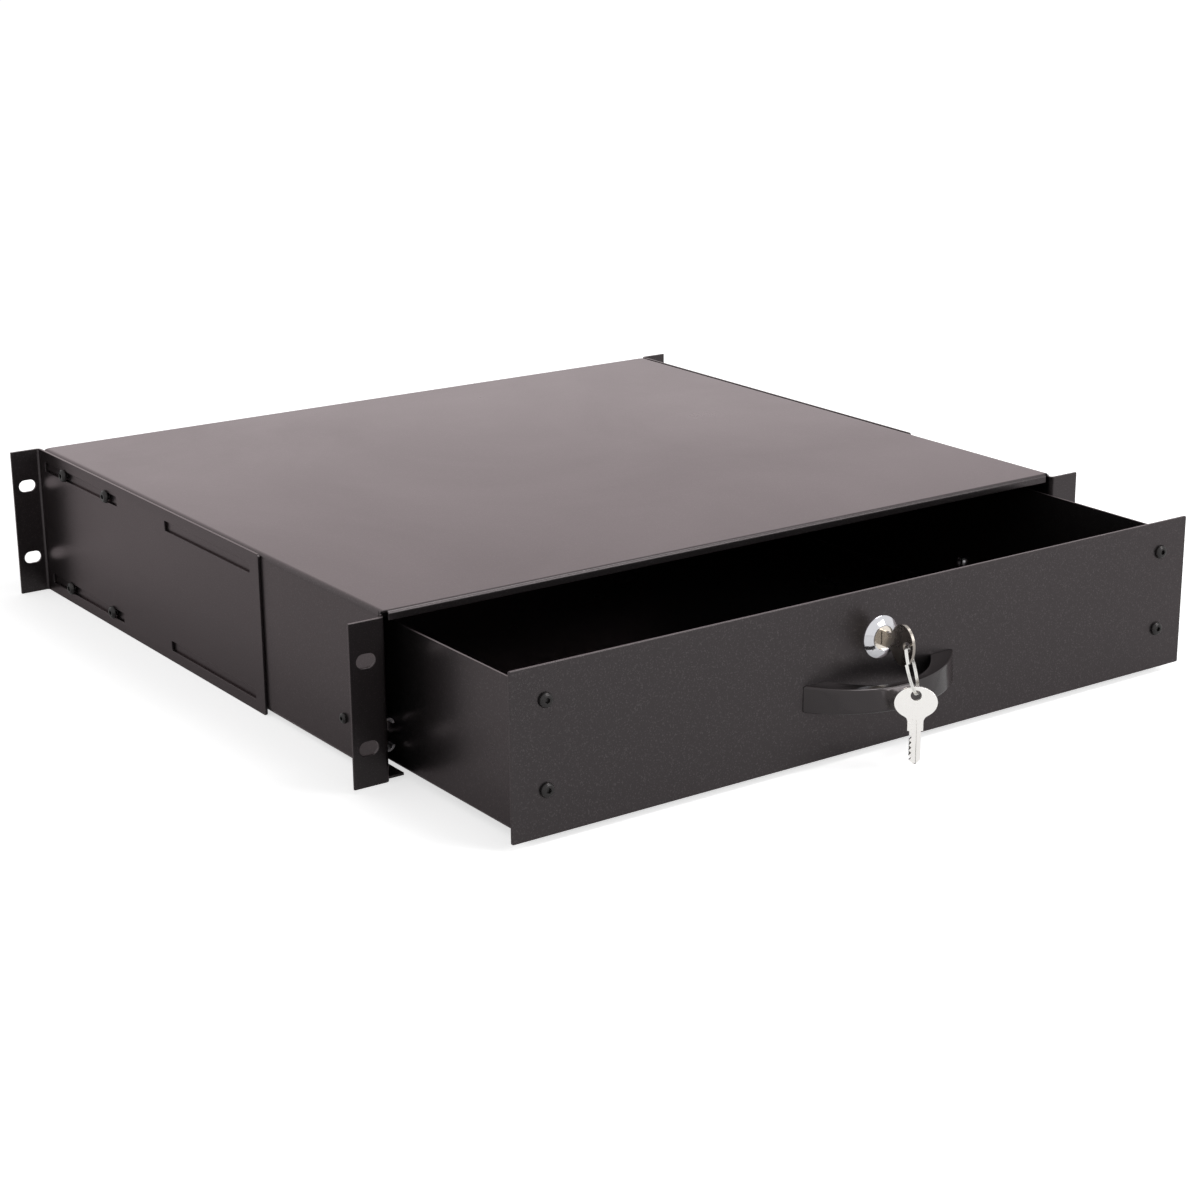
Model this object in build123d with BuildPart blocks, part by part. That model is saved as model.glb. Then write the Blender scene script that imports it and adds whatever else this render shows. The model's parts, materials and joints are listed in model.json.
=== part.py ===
from build123d import *
from math import atan2, degrees, sqrt
import os

os.makedirs("parts", exist_ok=True)

# Rack interface: 19 inch rack, two units high. The origin is the centre of the four
# slots in the front ears, on the front face of the ears. X is to the right, Y is back.
rack_width = 482.6
slot_edge = 8.75
slot_pitch_z = 44.45
slot_length = 10.5
slot_width = 7.2

# Housing, one folded sheet
sheet = 1.5
bend_inside = 1.5
ear_width = 18.8
ear_top_drop = 2.0
housing_depth = 405.0
housing_top = 44.2
housing_bottom = -42.1
bottom_flange = 11.0
lip_height = 5.0
lip_bend_inside = 0.5
rear_lip_height = 15.0
corner_relief = 1.2
panel_stop_gap = 0.3

# Drawer, drawn pulled out by drawer_open
drawer_open = 105.0
tray_sheet = 1.2
tray_bend_inside = 0.8
tray_floor_gap = 0.95
tray_top_gap = 7.35
tray_rear_gap = 23.5
tray_corner_gap = 0.4
tray_corner_relief = 1.5
panel_side_gap = 1.9
panel_bottom_gap = 1.55
panel_top_gap = 1.25
panel_corner = 0.8
panel_screw_side = 19.1
panel_screw_pitch_z = 43.6
panel_screw_edge = 22.9

# Ball slides. The cage rolls half as far as the drawer, between a stop tab on each member,
# so the drawer's travel is what the cage leaves of the run between the tabs.
slide_thickness = 10.0
slide_sheet = 1.2
slide_z = -21.2
ball_radius = 1.6
ball_gap = 0.3
ball_height = 5.55
ball_depth = 4.4
groove_wrap = 40.0
slide_bend = 1.8
slide_outer_front = 8.0
slide_rear_gap = 47.0
slide_inner_lead = 25.0
slide_inner_rear_gap = 5.0
slide_running_gap = 0.3
stop_tab_width = 3.0
stop_tab_setback = 15.5
slide_screw_edge = 34.0
slide_rear_screw_edge = 28.0
drawer_screw_front_edge = 40.0
drawer_screw_rear_edge = 41.5
cage_sheet = 0.4
cage_length = 100.0
cage_height = 9.6
cage_depth = 5.1
cage_bend = 0.7
pocket_gap = 0.1
cage_end = 14.0
balls_in_row = 3

# Rear brackets, with two pairs of long slots for the clamp screws
bracket_sheet = 1.5
bracket_height = 88.0
bracket_length = 282.0
bracket_slot_length = 100.0
bracket_slot_width = 5.6
bracket_slot_z = 34.7
bracket_slot_margin = 10.0
bracket_slot_corner = 0.8
bracket_corner = 1.5
clamp_screw_rear_edge = 35.5
clamp_screw_pitch = 58.5

# Bow handle
handle_width = 99.0
handle_depth = 26.0
handle_lean = 4.2
handle_bottom = -13.1
handle_front_height = 11.3
handle_rise = 2.5
handle_wall = 5.0
handle_foot = 16.0
handle_round = 1.2
handle_screw_pitch = 80.0
handle_screw_z = -7.5
handle_screw_grip = 6.0

# Cam lock
lock_z = 16.8
bezel_radius = 11.0
bezel_face_radius = 7.0
bezel_height = 3.0
barrel_radius = 9.0
barrel_flats = 16.0
barrel_length = 18.0
plug_radius = 6.2
plug_fit = 0.05
plug_recess = 1.0
plug_square = 6.4
bezel_edge = 0.5
lock_nut_width = 24.0
lock_nut_height = 4.0
cam_top_gap = 0.7
cam_width = 13.0
cam_sheet = 2.0
cam_crank_radius = 17.0
cam_bend_inside = 0.6
cam_behind_lip = 1.5
cam_gap = 0.3
cam_screw_length = 4.0

# Keys and split ring
key_thickness = 1.8
key_bow_width = 21.4
key_bow_length = 16.6
key_neck_width = 7.9
key_neck_length = 6.4
key_blade_width = 5.8
key_blade_length = 17.4
key_hole_radius = 2.7
key_hole_from_end = 4.6
key_shoulder_round = 3.5
key_tip_share = 0.4
key_groove_width = 2.2
key_groove_shift = 0.55
key_groove_depth = 0.5
key_cut_size = 1.3
key_cut_pitch = 2.7
key_cuts = 5
key_shoulder_gap = 0.2
key_fit = 0.25
ring_radius = 12.0
ring_wire_width = 1.0
ring_wire_thickness = 0.75
ring_gap = 0.05
ring_in_hole = 0.3
ring_down = (-0.161, -0.585, -0.795)
ring_normal = (0.679, -0.680, 0.278)
spare_key_drop = 0.8
spare_key_shift = 0.2
spare_key_facing = (-0.596, -0.803, 0)

# Fasteners
m4_radius = 2.0
m4_head_radius = 3.8
m4_head_height = 2.2
m4_socket_width = 2.5
m4_nut_width = 7.0
m4_nut_height = 3.2
m3_radius = 1.5
m3_head_radius = 2.8
m3_head_height = 1.8
m3_socket_width = 2.0
head_edge_share = 0.35
socket_depth_share = 0.6
screw_clearance = 0.2
thread_clearance = 0.05
screw_end = 1.0

# Places that follow from the sizes above
slot_pitch_x = rack_width - 2 * slot_edge
side_outer = rack_width / 2 - ear_width
side_inner = side_outer - sheet
bend_outside = bend_inside + sheet
panel_face = -drawer_open
panel_back = panel_face + sheet
panel_width = 2 * (side_inner - panel_side_gap)
panel_bottom = housing_bottom + panel_bottom_gap
panel_height = housing_top - panel_top_gap - panel_bottom
panel_middle = panel_bottom + panel_height / 2
tray_outer = side_inner - slide_thickness
tray_inner = tray_outer - tray_sheet
tray_bottom = housing_bottom + sheet + tray_floor_gap
tray_height = housing_top - sheet - tray_top_gap - tray_bottom
tray_depth = housing_depth - tray_rear_gap - sheet
tray_front = panel_back
tray_front_inside = tray_front + tray_sheet
tray_rear = tray_front + tray_depth
lip_front = sheet + panel_stop_gap
lip_bend_outside = lip_bend_inside + sheet
housing_front = max(bend_outside, lip_front + lip_bend_outside)
housing_rear = housing_depth - bend_outside
m4_hole = m4_radius + screw_clearance
m3_hole = m3_radius + screw_clearance

bracket_bend = bend_inside + bracket_sheet
bracket_outer = side_outer + bracket_sheet
bracket_rear = housing_depth + bracket_sheet
bracket_front = bracket_rear - bracket_length
bracket_slot_middle = bracket_rear - bracket_length / 2
bracket_slot_pitch = bracket_length - 2 * bracket_slot_margin - bracket_slot_length
clamp_screw_rear = housing_depth - clamp_screw_rear_edge
clamp_screw_front = clamp_screw_rear - clamp_screw_pitch
clamp_screw_length = bracket_sheet + sheet + m4_nut_height + screw_end
panel_screw_x = panel_width / 2 - panel_screw_side
panel_screw_middle = panel_bottom + panel_screw_edge + panel_screw_pitch_z / 2
panel_screw_length = sheet + tray_sheet + m4_nut_height + screw_end
groove_radius = ball_radius + ball_gap
groove_height = ball_height - groove_radius
race_outside = groove_radius + slide_sheet
slide_half_height = ball_height + race_outside
cage_web = slide_sheet + slide_running_gap
stop_tab_rear = slide_outer_front + stop_tab_setback + slide_sheet
slide_inner_rear = housing_depth - tray_rear_gap - slide_inner_rear_gap
cage_run_front = stop_tab_rear + slide_running_gap
cage_run_rear = slide_inner_rear - slide_sheet - slide_running_gap
drawer_travel = cage_run_rear - cage_run_front - cage_length
cage_middle = cage_run_front + (cage_length + drawer_travel) / 2
ball_pitch = (cage_length - 2 * cage_end) / (balls_in_row - 1)
cage_middle_now = cage_middle - drawer_open / 2
slide_outer_length = housing_depth - slide_rear_gap - slide_outer_front
slide_inner_front = cage_middle - cage_length / 2 - slide_inner_lead
slide_inner_front_now = slide_inner_front - drawer_open
slide_inner_length = slide_inner_rear - slide_inner_front
slide_screw_y = slide_outer_front + slide_screw_edge
slide_rear_screw_y = slide_outer_front + slide_outer_length - slide_rear_screw_edge
drawer_screw_front = slide_inner_front + drawer_screw_front_edge
drawer_screw_rear = slide_inner_rear - drawer_screw_rear_edge
inner_tab_reach = slide_thickness - slide_sheet / 2 - cage_web
ball_x = ball_depth - side_inner
tray_middle = (tray_front + tray_rear) / 2
lock_hole_radius = barrel_radius + screw_clearance
plug_face = panel_face - bezel_height + plug_recess
barrel_rear = panel_face + barrel_length
cam_length = housing_top - sheet - cam_top_gap - lock_z
cam_root_front = barrel_rear + cam_gap
cam_rear = cam_root_front + cam_sheet
cam_tip_front = panel_face + lip_front + sheet + cam_behind_lip
key_bow_middle = key_hole_from_end - key_bow_length / 2
key_neck_end = key_hole_from_end - key_bow_length - key_neck_length
key_hole_y = plug_face - key_shoulder_gap + key_neck_end


def save(solid, node):
    """Label a finished piece and write it as one STEP file."""
    solid.label = node
    export_step(solid, f"parts/{node}.step")


def cap_screw(radius, head_radius, head_height, socket_width, length):
    """Socket screw along Z: the head stands on z = 0 and the shank runs down."""
    with BuildPart() as screw:
        with BuildSketch():
            Circle(head_radius)
        extrude(amount=head_height)
        chamfer(screw.faces().sort_by(Axis.Z)[-1].edges(), head_height * head_edge_share)
        with BuildSketch():
            Circle(radius)
        extrude(amount=-length)
        with BuildSketch(Plane.XY.offset(head_height)):
            RegularPolygon(socket_width / 2, 6, major_radius=False)
        extrude(amount=-head_height * socket_depth_share, mode=Mode.SUBTRACT)
    return screw.part


def hex_nut(width, height, bore_radius):
    """Hexagon nut that stands on z = 0."""
    with BuildPart() as nut:
        with BuildSketch():
            RegularPolygon(width / 2, 6, major_radius=False)
            Circle(bore_radius, mode=Mode.SUBTRACT)
        extrude(amount=height)
    return nut.part


def left_of(x, y, z):
    """Plane on the left side that looks outwards, along -X."""
    return Plane(origin=(-x, y, z), x_dir=(0, 1, 0), z_dir=(-1, 0, 0))


def right_of(x, y, z):
    """Plane on the right side that looks outwards, along +X."""
    return Plane(origin=(x, y, z), x_dir=(0, 1, 0), z_dir=(1, 0, 0))


def on_both_sides(x, places):
    """Planes that look outwards on the left and on the right, at each (y, z) place."""
    planes = []
    for y, z in places:
        planes.append(left_of(x, y, z))
        planes.append(right_of(x, y, z))
    return planes


def looking_back(x, y, z):
    """Plane that looks towards the rear, along +Y."""
    return Plane(origin=(x, y, z), x_dir=(-1, 0, 0), z_dir=(0, 1, 0))


def save_mirrored(solid, node):
    """Make the right-hand twin of a left-hand piece and write it."""
    with BuildPart() as twin:
        add(solid)
        mirror(about=Plane.YZ, mode=Mode.REPLACE)
    save(twin.part, node)


# Places of the screws in the sides, as (y, z)
clamp_places = [
    (clamp_screw_front, bracket_slot_z),
    (clamp_screw_front, -bracket_slot_z),
    (clamp_screw_rear, bracket_slot_z),
    (clamp_screw_rear, -bracket_slot_z),
]
drawer_screw_places = [
    (drawer_screw_front - drawer_open, slide_z),
    (drawer_screw_rear - drawer_open, slide_z),
]

# Housing: top, sides and bottom flanges as one folded section
with BuildPart() as housing:
    with BuildSketch(Plane.XZ.offset(-housing_front)):
        with BuildLine():
            FilletPolyline(
                (-side_outer + bottom_flange, housing_bottom),
                (-side_outer, housing_bottom),
                (-side_outer, housing_top),
                (side_outer, housing_top),
                (side_outer, housing_bottom),
                (side_outer - bottom_flange, housing_bottom),
                radius=bend_outside,
            )
            offset(amount=sheet, side=Side.RIGHT)
        make_face()
    extrude(amount=housing_front - housing_rear)

    # The flat of each side runs on to the full depth, beside the bend of the rear lip
    with BuildSketch(Plane.XZ.offset(-housing_rear)):
        with Locations((0, (housing_top + housing_bottom) / 2)):
            with GridLocations(2 * side_outer - sheet, sheet, 2, 1):
                Rectangle(sheet, housing_top - housing_bottom - 2 * bend_outside)
    extrude(amount=housing_rear - housing_depth)

    # Front ears, turned out of the sides
    with BuildSketch(Plane.XY.offset(housing_bottom)):
        with BuildLine():
            FilletPolyline(
                (-side_inner, housing_front),
                (-side_inner, 0),
                (-rack_width / 2, 0),
                radius=bend_outside,
            )
            offset(amount=sheet, side=Side.RIGHT)
        make_face()
        mirror(about=Plane.YZ)
    extrude(amount=housing_top - ear_top_drop - housing_bottom)

    # Front lip, turned down from the top between the two corner reliefs
    lip_half_width = side_inner - bend_inside - corner_relief
    with BuildSketch(Plane.YZ.offset(-lip_half_width)):
        with BuildLine():
            FilletPolyline(
                (housing_front + sheet, housing_top),
                (lip_front, housing_top),
                (lip_front, housing_top - lip_height),
                radius=lip_bend_outside,
            )
            offset(amount=sheet, side=Side.LEFT)
        make_face()
    extrude(amount=2 * lip_half_width)

    # Rear lip, turned down from the top in the same way
    with BuildSketch(Plane.YZ.offset(-lip_half_width)):
        with BuildLine():
            FilletPolyline(
                (housing_rear - sheet, housing_top),
                (housing_depth, housing_top),
                (housing_depth, housing_top - rear_lip_height),
                radius=bend_outside,
            )
            offset(amount=sheet, side=Side.RIGHT)
        make_face()
    extrude(amount=2 * lip_half_width)

    # Rack slots in the ears
    with BuildSketch(Plane.XZ):
        with GridLocations(slot_pitch_x, slot_pitch_z, 2, 2):
            SlotOverall(slot_length, slot_width)
    extrude(amount=-sheet, mode=Mode.SUBTRACT)

    # Holes for the clamp screws and the slide screws, the rear ones countersunk
    with Locations(*on_both_sides(side_outer, clamp_places)):
        Hole(m4_hole, depth=sheet)
    with Locations(*on_both_sides(side_outer, [(slide_screw_y, slide_z)])):
        Hole(m3_hole, depth=sheet)
    with Locations(*on_both_sides(side_outer, [(slide_rear_screw_y, slide_z)])):
        CounterSinkHole(m3_hole, m3_head_radius + screw_clearance, depth=sheet, counter_sink_angle=90)
save(housing.part, "housing")

# Rear brackets, folded out at the back into an ear, each with four long slots
with BuildPart() as rear_bracket_left:
    with BuildSketch(Plane.XY.offset(-bracket_height / 2)):
        with BuildLine():
            FilletPolyline(
                (-side_outer, bracket_front),
                (-side_outer, bracket_rear),
                (-rack_width / 2, bracket_rear),
                radius=bracket_bend,
            )
            offset(amount=bracket_sheet, side=Side.LEFT)
        make_face()
    extrude(amount=bracket_height)
    with BuildSketch(Plane.YZ.offset(-bracket_outer)):
        with Locations((bracket_slot_middle, 0)):
            with GridLocations(bracket_slot_pitch, 2 * bracket_slot_z, 2, 2):
                RectangleRounded(bracket_slot_length, bracket_slot_width, bracket_slot_corner)
    extrude(amount=bracket_sheet, mode=Mode.SUBTRACT)
    with BuildSketch(Plane.XZ.offset(-bracket_rear)):
        with Locations((-slot_pitch_x / 2, 0)):
            with GridLocations(slot_pitch_x, slot_pitch_z, 1, 2):
                SlotOverall(slot_length, slot_width)
    extrude(amount=bracket_sheet, mode=Mode.SUBTRACT)
    fillet(rear_bracket_left.edges().filter_by(Axis.X).group_by(Axis.Y)[0], bracket_corner)
save(rear_bracket_left.part, "rear_bracket_left")
save_mirrored(rear_bracket_left.part, "rear_bracket_right")

# Clamp screws through the bracket slots, and their nuts inside the housing
clamp_screw = cap_screw(m4_radius, m4_head_radius, m4_head_height, m4_socket_width, clamp_screw_length)
with BuildPart() as bracket_clamp_screws:
    with Locations(*on_both_sides(bracket_outer, clamp_places)):
        add(clamp_screw)
save(bracket_clamp_screws.part, "bracket_clamp_screws")

m4_nut = hex_nut(m4_nut_width, m4_nut_height, m4_radius + thread_clearance)
with BuildPart() as bracket_clamp_nuts:
    with Locations(*on_both_sides(side_inner - m4_nut_height, clamp_places)):
        add(m4_nut)
save(bracket_clamp_nuts.part, "bracket_clamp_nuts")

# Outer slide member: a channel whose edges curl round the balls, with a stop tab for the cage
slide_section = Plane(origin=(-side_inner, 0, slide_z), x_dir=(1, 0, 0), z_dir=(0, -1, 0))
with BuildPart() as slide_outer_left:
    with BuildSketch(slide_section.offset(-slide_outer_front)):
        with BuildLine():
            CenterArc((ball_depth, ball_height), race_outside, 0, 90)
            FilletPolyline(
                (ball_depth, slide_half_height),
                (0, slide_half_height),
                (0, -slide_half_height),
                (ball_depth, -slide_half_height),
                radius=slide_bend,
            )
            CenterArc((ball_depth, -ball_height), race_outside, 270, 90)
            offset(amount=slide_sheet, side=Side.LEFT)
        make_face()
    extrude(amount=-slide_outer_length)
    with BuildSketch(slide_section.offset(-stop_tab_rear)):
        with Locations((slide_sheet / 2, 0)):
            Rectangle(cage_web + cage_sheet, stop_tab_width, align=(Align.MIN, Align.CENTER))
    extrude(amount=slide_sheet)
    with Locations(*[left_of(side_inner, y, slide_z) for y in (slide_screw_y, slide_rear_screw_y)]):
        Hole(m3_hole, depth=slide_sheet)
save(slide_outer_left.part, "slide_outer_left")
save_mirrored(slide_outer_left.part, "slide_outer_right")

# Inner slide member: its flanges end in grooves that hold the balls, with a stop tab behind
with BuildPart() as slide_inner_left:
    with BuildSketch(slide_section.offset(-slide_inner_front_now)):
        with BuildLine():
            CenterArc((ball_depth, ball_height), groove_radius, 270 - groove_wrap, groove_wrap)
            FilletPolyline(
                (ball_depth, groove_height),
                (slide_thickness, groove_height),
                (slide_thickness, -groove_height),
                (ball_depth, -groove_height),
                radius=slide_bend,
            )
            CenterArc((ball_depth, -ball_height), groove_radius, 90, groove_wrap)
            offset(amount=slide_sheet, side=Side.RIGHT)
        make_face()
    extrude(amount=-slide_inner_length)
    with BuildSketch(slide_section.offset(drawer_open - slide_inner_rear)):
        with Locations((slide_thickness - slide_sheet / 2, 0)):
            Rectangle(inner_tab_reach, stop_tab_width, align=(Align.MAX, Align.CENTER))
    extrude(amount=slide_sheet)
    with Locations(*[left_of(tray_outer + slide_sheet, y, z) for y, z in drawer_screw_places]):
        Hole(m4_hole, depth=slide_sheet)
save(slide_inner_left.part, "slide_inner_left")
save_mirrored(slide_inner_left.part, "slide_inner_right")

# Ball cage: a thin channel with a row of pockets in each flange
with BuildPart() as ball_cage_left:
    with BuildSketch(slide_section.offset(cage_length / 2 - cage_middle_now)):
        with BuildLine():
            FilletPolyline(
                (cage_web + cage_depth, cage_height / 2),
                (cage_web, cage_height / 2),
                (cage_web, -cage_height / 2),
                (cage_web + cage_depth, -cage_height / 2),
                radius=cage_bend,
            )
            offset(amount=cage_sheet, side=Side.LEFT)
        make_face()
    extrude(amount=-cage_length)
    with BuildSketch(Plane.XY.offset(slide_z)):
        with Locations((ball_x, cage_middle_now)):
            with GridLocations(ball_pitch, ball_pitch, 1, balls_in_row):
                Circle(ball_radius + pocket_gap)
    extrude(amount=cage_height, both=True, mode=Mode.SUBTRACT)
save(ball_cage_left.part, "ball_cage_left")
save_mirrored(ball_cage_left.part, "ball_cage_right")

# Steel balls, one row above and one below
ball_rows = Plane(origin=(ball_x, cage_middle_now, slide_z), x_dir=(0, 1, 0), z_dir=(1, 0, 0))
with BuildPart(ball_rows) as slide_balls_left:
    with GridLocations(ball_pitch, 2 * ball_height, balls_in_row, 2):
        Sphere(ball_radius)
save(slide_balls_left.part, "slide_balls_left")
save_mirrored(slide_balls_left.part, "slide_balls_right")

# Slide screws: raised heads in front, flush countersunk heads under the brackets
slide_screw = cap_screw(m3_radius, m3_head_radius, m3_head_height, m3_socket_width, sheet + slide_sheet)
with BuildPart() as slide_screws:
    with Locations(*on_both_sides(side_outer, [(slide_screw_y, slide_z)])):
        add(slide_screw)
save(slide_screws.part, "slide_screws")

with BuildPart() as flush_screw:
    with BuildSketch():
        Circle(m3_radius)
    extrude(amount=-(sheet + slide_sheet))
    with Locations((0, 0, -(m3_head_radius - m3_radius) / 2)):
        Cone(m3_radius, m3_head_radius, m3_head_radius - m3_radius)
    with BuildSketch():
        RegularPolygon(m3_socket_width / 2, 6, major_radius=False)
    extrude(amount=-m3_head_height / 2, mode=Mode.SUBTRACT)

with BuildPart() as slide_rear_screws:
    with Locations(*on_both_sides(side_outer, [(slide_rear_screw_y, slide_z)])):
        add(flush_screw.part)
save(slide_rear_screws.part, "slide_rear_screws")

# Screws that hold the inner members, with their heads inside the tray
drawer_slide_screw = cap_screw(
    m4_radius, m4_head_radius, m4_head_height, m4_socket_width, tray_sheet + slide_sheet + screw_end / 2
)
with BuildPart() as drawer_slide_screws:
    for y, z in drawer_screw_places:
        with Locations(left_of(-tray_inner, y, z), right_of(-tray_inner, y, z)):
            add(drawer_slide_screw)
save(drawer_slide_screws.part, "drawer_slide_screws")

# Holes that pass through the panel and the front wall of the tray
with BuildSketch(Plane.XZ.offset(-panel_face)) as front_holes:
    with Locations((0, lock_z)):
        Circle(lock_hole_radius)
        Rectangle(barrel_flats + 2 * screw_clearance, 2 * lock_hole_radius, mode=Mode.INTERSECT)
    with Locations((0, panel_screw_middle)):
        with GridLocations(2 * panel_screw_x, panel_screw_pitch_z, 2, 2):
            Circle(m4_hole)
    with Locations((0, handle_screw_z)):
        with GridLocations(handle_screw_pitch, handle_screw_pitch, 2, 1):
            Circle(m4_hole)

# Drawer tray: floor and four walls folded from one sheet, with open corners
tray_bend = tray_bend_inside + tray_sheet
with BuildPart() as drawer_tray:
    with BuildSketch(Plane.XY.offset(tray_bottom)):
        with Locations((0, tray_middle)):
            Rectangle(2 * tray_outer, tray_depth)
    extrude(amount=tray_height)
    fillet(drawer_tray.faces().sort_by(Axis.Z)[0].edges(), tray_bend)
    offset(amount=-tray_sheet, openings=drawer_tray.faces().sort_by(Axis.Z)[-1])
    with BuildSketch(Plane.XY.offset(tray_bottom)):
        with Locations((0, tray_middle)):
            with GridLocations(2 * (tray_outer - tray_bend), tray_depth - 2 * tray_bend, 2, 2):
                Circle(tray_corner_relief)
    extrude(amount=tray_bend, mode=Mode.SUBTRACT)
    with BuildSketch(Plane.XY.offset(tray_bottom)):
        with Locations((0, tray_middle)):
            with GridLocations(2 * tray_inner - tray_corner_gap, tray_depth - tray_sheet, 2, 2):
                Rectangle(tray_corner_gap, tray_sheet)
    extrude(amount=tray_height, mode=Mode.SUBTRACT)
    extrude(front_holes.sketch, amount=-(sheet + tray_sheet), mode=Mode.SUBTRACT)
    with Locations(*on_both_sides(tray_outer, drawer_screw_places)):
        Hole(m4_hole, depth=tray_sheet)
save(drawer_tray.part, "drawer_tray")

# Front panel
with BuildPart() as drawer_front_panel:
    with BuildSketch(Plane.XZ.offset(-panel_face)):
        with Locations((0, panel_middle)):
            RectangleRounded(panel_width, panel_height, panel_corner)
    extrude(amount=-sheet)
    extrude(front_holes.sketch, amount=-sheet, mode=Mode.SUBTRACT)
save(drawer_front_panel.part, "drawer_front_panel")

# Panel screws from the front, with nuts behind the front wall of the tray
panel_screw = cap_screw(m4_radius, m4_head_radius, m4_head_height, m4_socket_width, panel_screw_length)
with BuildPart(Plane.XZ.offset(-panel_face)) as panel_screws:
    with Locations((0, panel_screw_middle)):
        with GridLocations(2 * panel_screw_x, panel_screw_pitch_z, 2, 2):
            add(panel_screw)
save(panel_screws.part, "panel_screws")

with BuildPart(Plane.XZ.offset(-tray_front_inside - m4_nut_height)) as panel_nuts:
    with Locations((0, panel_screw_middle)):
        with GridLocations(2 * panel_screw_x, panel_screw_pitch_z, 2, 2):
            add(m4_nut)
save(panel_nuts.part, "panel_nuts")

# Bow handle: a crescent that leans back and whose top rises to the panel
handle_reach = handle_depth - handle_lean
handle_top_depth = sqrt(handle_reach**2 + handle_rise**2)
handle_tilt = degrees(atan2(handle_rise, handle_reach))
handle_top = handle_bottom + handle_front_height + handle_rise
handle_base = Plane(Location((0, panel_face, handle_bottom)))
handle_cover = Plane(Location((0, panel_face, handle_top), (handle_tilt, 0, 0)))
handle_gap = handle_width / 2 - handle_foot


def crescent(plane, depth):
    """Outline of the bow on one plane, with its feet on the panel."""
    with BuildSketch(plane) as outline:
        with BuildLine():
            ThreePointArc((-handle_width / 2, 0), (0, -depth), (handle_width / 2, 0))
            Line((handle_width / 2, 0), (handle_gap, 0))
            ThreePointArc((handle_gap, 0), (0, handle_wall - depth), (-handle_gap, 0))
            Line((-handle_gap, 0), (-handle_width / 2, 0))
        make_face()
    return outline.sketch


with BuildPart() as pull_handle:
    loft([crescent(handle_base, handle_depth), crescent(handle_cover, handle_top_depth)])
    fillet(pull_handle.edges().filter_by(GeomType.CIRCLE), handle_round)
    with Locations(looking_back(0, panel_face, handle_screw_z)):
        with GridLocations(handle_screw_pitch, handle_screw_pitch, 2, 1):
            Hole(m4_radius + thread_clearance, depth=handle_screw_grip + screw_end)
save(pull_handle.part, "pull_handle")

handle_screw = cap_screw(
    m4_radius, m4_head_radius, m4_head_height, m4_socket_width, sheet + tray_sheet + handle_screw_grip
)
with BuildPart(looking_back(0, tray_front_inside, handle_screw_z)) as handle_screws:
    with GridLocations(handle_screw_pitch, handle_screw_pitch, 2, 1):
        add(handle_screw)
save(handle_screws.part, "handle_screws")

# Lock body: a bevelled bezel in front of the panel and a barrel with two flats behind it
lock_axis = Axis((0, panel_face, lock_z), (0, 1, 0))
with BuildPart() as lock_body:
    with BuildSketch(Plane.XZ.offset(-panel_face)):
        with Locations((0, lock_z)):
            Circle(barrel_radius)
            Rectangle(barrel_flats, 2 * barrel_radius, mode=Mode.INTERSECT)
    extrude(amount=-barrel_length)
    with BuildSketch(Plane(origin=(0, panel_face, lock_z), z_dir=(0, 0, 1))):
        with BuildLine():
            Polyline(
                (0, 0),
                (bezel_radius, 0),
                (bezel_radius, -bezel_edge),
                (bezel_face_radius, -bezel_height),
                (0, -bezel_height),
                close=True,
            )
        make_face()
    revolve(axis=lock_axis)
    with BuildSketch(Plane.XZ.offset(-panel_face)):
        with Locations((0, lock_z)):
            Circle(plug_radius + plug_fit)
    extrude(amount=barrel_length, both=True, mode=Mode.SUBTRACT)
save(lock_body.part, "lock_body")

# Lock nut behind the front wall of the tray
with BuildPart(looking_back(0, tray_front_inside, lock_z)) as lock_nut:
    add(hex_nut(lock_nut_width, lock_nut_height, barrel_radius + thread_clearance))
save(lock_nut.part, "lock_nut")

# Lock plug: turns in the body, with a keyway in front and a square for the cam behind
keyway_width = key_thickness + 2 * key_fit
keyway_height = key_blade_width + 2 * key_fit
keyway_depth = key_blade_length - key_shoulder_gap + key_fit
with BuildPart() as lock_plug:
    with BuildSketch(Plane.XZ.offset(-plug_face)):
        with Locations((0, lock_z)):
            Circle(plug_radius)
    extrude(amount=plug_face - cam_root_front)
    with BuildSketch(Plane.XZ.offset(-cam_root_front)):
        with Locations((0, lock_z)):
            Rectangle(plug_square, plug_square)
    extrude(amount=-cam_sheet)
    with BuildSketch(Plane.XZ.offset(-plug_face)):
        with Locations((0, lock_z)):
            Rectangle(keyway_width, keyway_height)
    extrude(amount=-keyway_depth, mode=Mode.SUBTRACT)
    with Locations(looking_back(0, cam_rear, lock_z)):
        Hole(m4_radius + thread_clearance, depth=cam_screw_length + screw_clearance)
save(lock_plug.part, "lock_plug")

# Cam: a cranked strip that reaches forward round the nut, drawn unlocked and pointing right
with BuildPart() as lock_cam:
    with BuildSketch(Plane.XY.offset(lock_z - cam_width / 2)):
        with BuildLine():
            FilletPolyline(
                (-cam_width / 2, cam_rear),
                (cam_crank_radius, cam_rear),
                (cam_crank_radius, cam_tip_front + cam_sheet),
                (cam_length, cam_tip_front + cam_sheet),
                radius=[cam_bend_inside + cam_sheet, cam_bend_inside],
            )
            offset(amount=cam_sheet, side=Side.RIGHT)
        make_face()
    extrude(amount=cam_width)
    with BuildSketch(Plane.XZ.offset(-cam_rear)):
        with Locations((0, lock_z)):
            Circle(cam_width / 2)
            Rectangle(2 * cam_length, cam_width, align=(Align.MIN, Align.CENTER))
            Circle(cam_length, mode=Mode.INTERSECT)
    extrude(amount=cam_rear - cam_tip_front, mode=Mode.INTERSECT)
    with BuildSketch(Plane.XZ.offset(-cam_rear)):
        with Locations((0, lock_z)):
            Rectangle(plug_square + 2 * plug_fit, plug_square + 2 * plug_fit)
    extrude(amount=cam_sheet, mode=Mode.SUBTRACT)
save(lock_cam.part, "lock_cam")

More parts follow.
